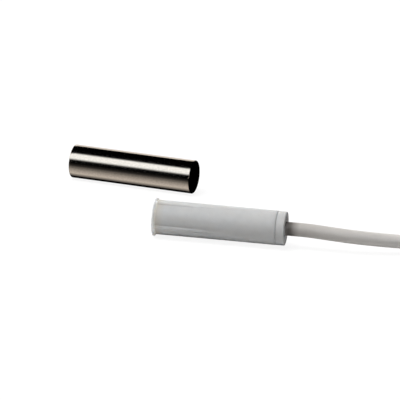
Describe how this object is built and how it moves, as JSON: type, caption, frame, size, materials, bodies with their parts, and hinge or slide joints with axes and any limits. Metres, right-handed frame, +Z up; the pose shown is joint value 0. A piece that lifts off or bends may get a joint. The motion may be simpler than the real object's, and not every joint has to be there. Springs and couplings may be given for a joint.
{
  "type": "recessed magnetic contact",
  "caption": "Flush-fitting reed contact for a door or window: a flanged plastic switch half with a lead, and a bare rod magnet half, laid side by side.",
  "frame": {"origin": "on the surface that both halves lie on, below the middle of the box round the two halves without the lead", "axes": "+X along the switch from its front face to its lead, +Z up, the magnet behind the switch towards +Y"},
  "size_m": [0.1381, 0.0728, 0.0128],
  "materials": {
    "housing_plastic": "white moulded plastic, slightly satin",
    "cap_plastic": "white moulded plastic, slightly satin",
    "potting_resin": "dark cast resin",
    "reed_glass": "clear, faintly green",
    "reed_alloy": "bright nickel-iron",
    "solder": "dull bright solder",
    "sleeve_plastic": "shrunk tubing",
    "copper": "bare stranded copper",
    "white_core": "smooth core insulation",
    "brown_core": "smooth core insulation",
    "green_core": "smooth core insulation",
    "yellow_core": "smooth core insulation",
    "lead_jacket": "warm white soft jacket, faintly satin",
    "tinned_strands": "tinned strands",
    "tie_plastic": "coated wire tie",
    "magnet_alloy": "ground metal with a fine satin grain"
  },
  "bodies": {
    "switch": {"housing": "housing_plastic", "rear_cap": "cap_plastic", "potting": "potting_resin", "reed_glass": "reed_glass", "front_lead": "reed_alloy", "rear_lead": "reed_alloy", "front_solder": "solder", "rear_solder": "solder", "joint_sleeve": "sleeve_plastic", "loop_splice": "solder", "wire_ends": "copper", "contact_core_front": "white_core", "contact_core_rear": "brown_core", "tamper_core_near": "green_core", "tamper_core_far": "yellow_core", "jacket_end": "lead_jacket", "cord_run": "lead_jacket", "cord_coil": "lead_jacket", "cord_tie": "tie_plastic", "cord_tail": "lead_jacket", "end_core_white": "white_core", "end_core_brown": "brown_core", "end_core_green": "green_core", "end_core_yellow": "yellow_core", "end_strands": "tinned_strands"},
    "magnet": {"magnet": "magnet_alloy"},
    "front_reed": {"front_blade": "reed_alloy"},
    "rear_reed": {"rear_blade": "reed_alloy"}
  },
  "joints": [
    {"name": "magnet_swing", "type": "hinge", "parent": "switch", "child": "magnet", "pos_m": [0.23655, -0.06451, 0.004], "axis": [0, 0, 1], "range_deg": [0, 9.5]},
    {"name": "front_reed_flex", "type": "hinge", "parent": "switch", "child": "front_reed", "pos_m": [0.00579, -0.02207, 0.0051], "axis": [0, 0, -1], "range_deg": [0, 0.75]},
    {"name": "rear_reed_flex", "type": "hinge", "parent": "switch", "child": "rear_reed", "pos_m": [0.01579, -0.02247, 0.0051], "axis": [0, 0, -1], "range_deg": [0, 0.75]}
  ],
  "couplings": [
    {"joint": "front_reed_flex", "follows": "magnet_swing", "ratio": 0.0789},
    {"joint": "rear_reed_flex", "follows": "magnet_swing", "ratio": 0.0789}
  ]
}
